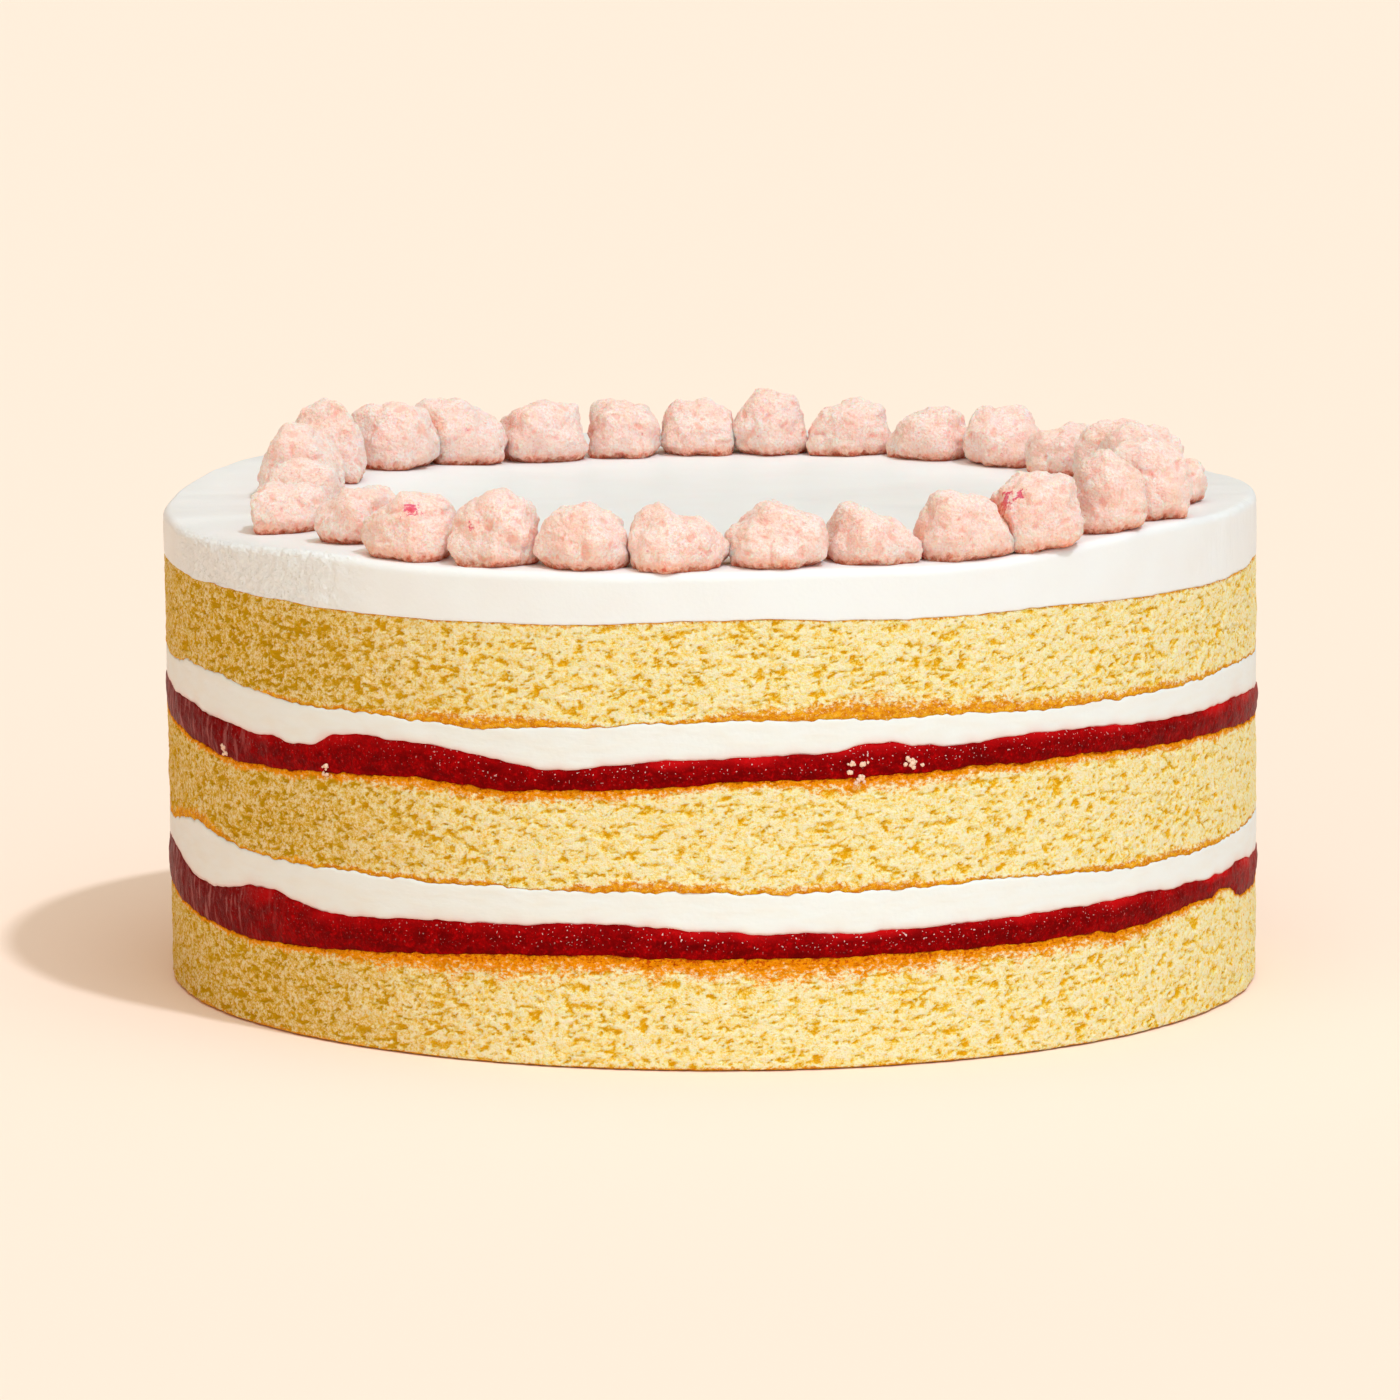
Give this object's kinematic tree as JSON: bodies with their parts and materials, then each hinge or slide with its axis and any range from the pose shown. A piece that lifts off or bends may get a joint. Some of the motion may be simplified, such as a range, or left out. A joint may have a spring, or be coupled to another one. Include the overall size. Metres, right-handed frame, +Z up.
{
  "type": "strawberry shortcake layer cake",
  "caption": "Round strawberry shortcake with bare sides: golden sponge layers, red jam and cream between them, a thick smooth frosting top and a ring of pink crumb clusters.",
  "frame": {"origin": "middle of the cake's flat foot, on the surface that it stands on", "axes": "+Z up through the layers; -Y is the front of the cake, +X its right as seen from the front"},
  "size_m": [0.2542, 0.2543, 0.1309],
  "materials": {
    "sponge": "matte open crumb",
    "jam": "wet gloss",
    "cream": "satin",
    "frosting": "satin",
    "cluster": "dusty granular"
  },
  "bodies": {
    "root": {"cake_layer_1": "sponge", "jam_layer_1": "jam", "cream_layer_1": "cream", "cake_layer_2": "sponge", "jam_layer_2": "jam", "cream_layer_2": "cream", "cake_layer_3": "sponge", "frosting_top": "frosting", "cluster_01": "cluster", "cluster_02": "cluster", "cluster_03": "cluster", "cluster_04": "cluster", "cluster_05": "cluster", "cluster_06": "cluster", "cluster_07": "cluster", "cluster_08": "cluster", "cluster_09": "cluster", "cluster_10": "cluster", "cluster_11": "cluster", "cluster_12": "cluster", "cluster_13": "cluster", "cluster_14": "cluster", "cluster_15": "cluster", "cluster_16": "cluster", "cluster_17": "cluster", "cluster_18": "cluster", "cluster_19": "cluster", "cluster_20": "cluster", "cluster_21": "cluster", "cluster_22": "cluster", "cluster_23": "cluster", "cluster_24": "cluster", "cluster_25": "cluster", "cluster_26": "cluster", "cluster_27": "cluster", "cluster_28": "cluster"}
  },
  "joints": []
}
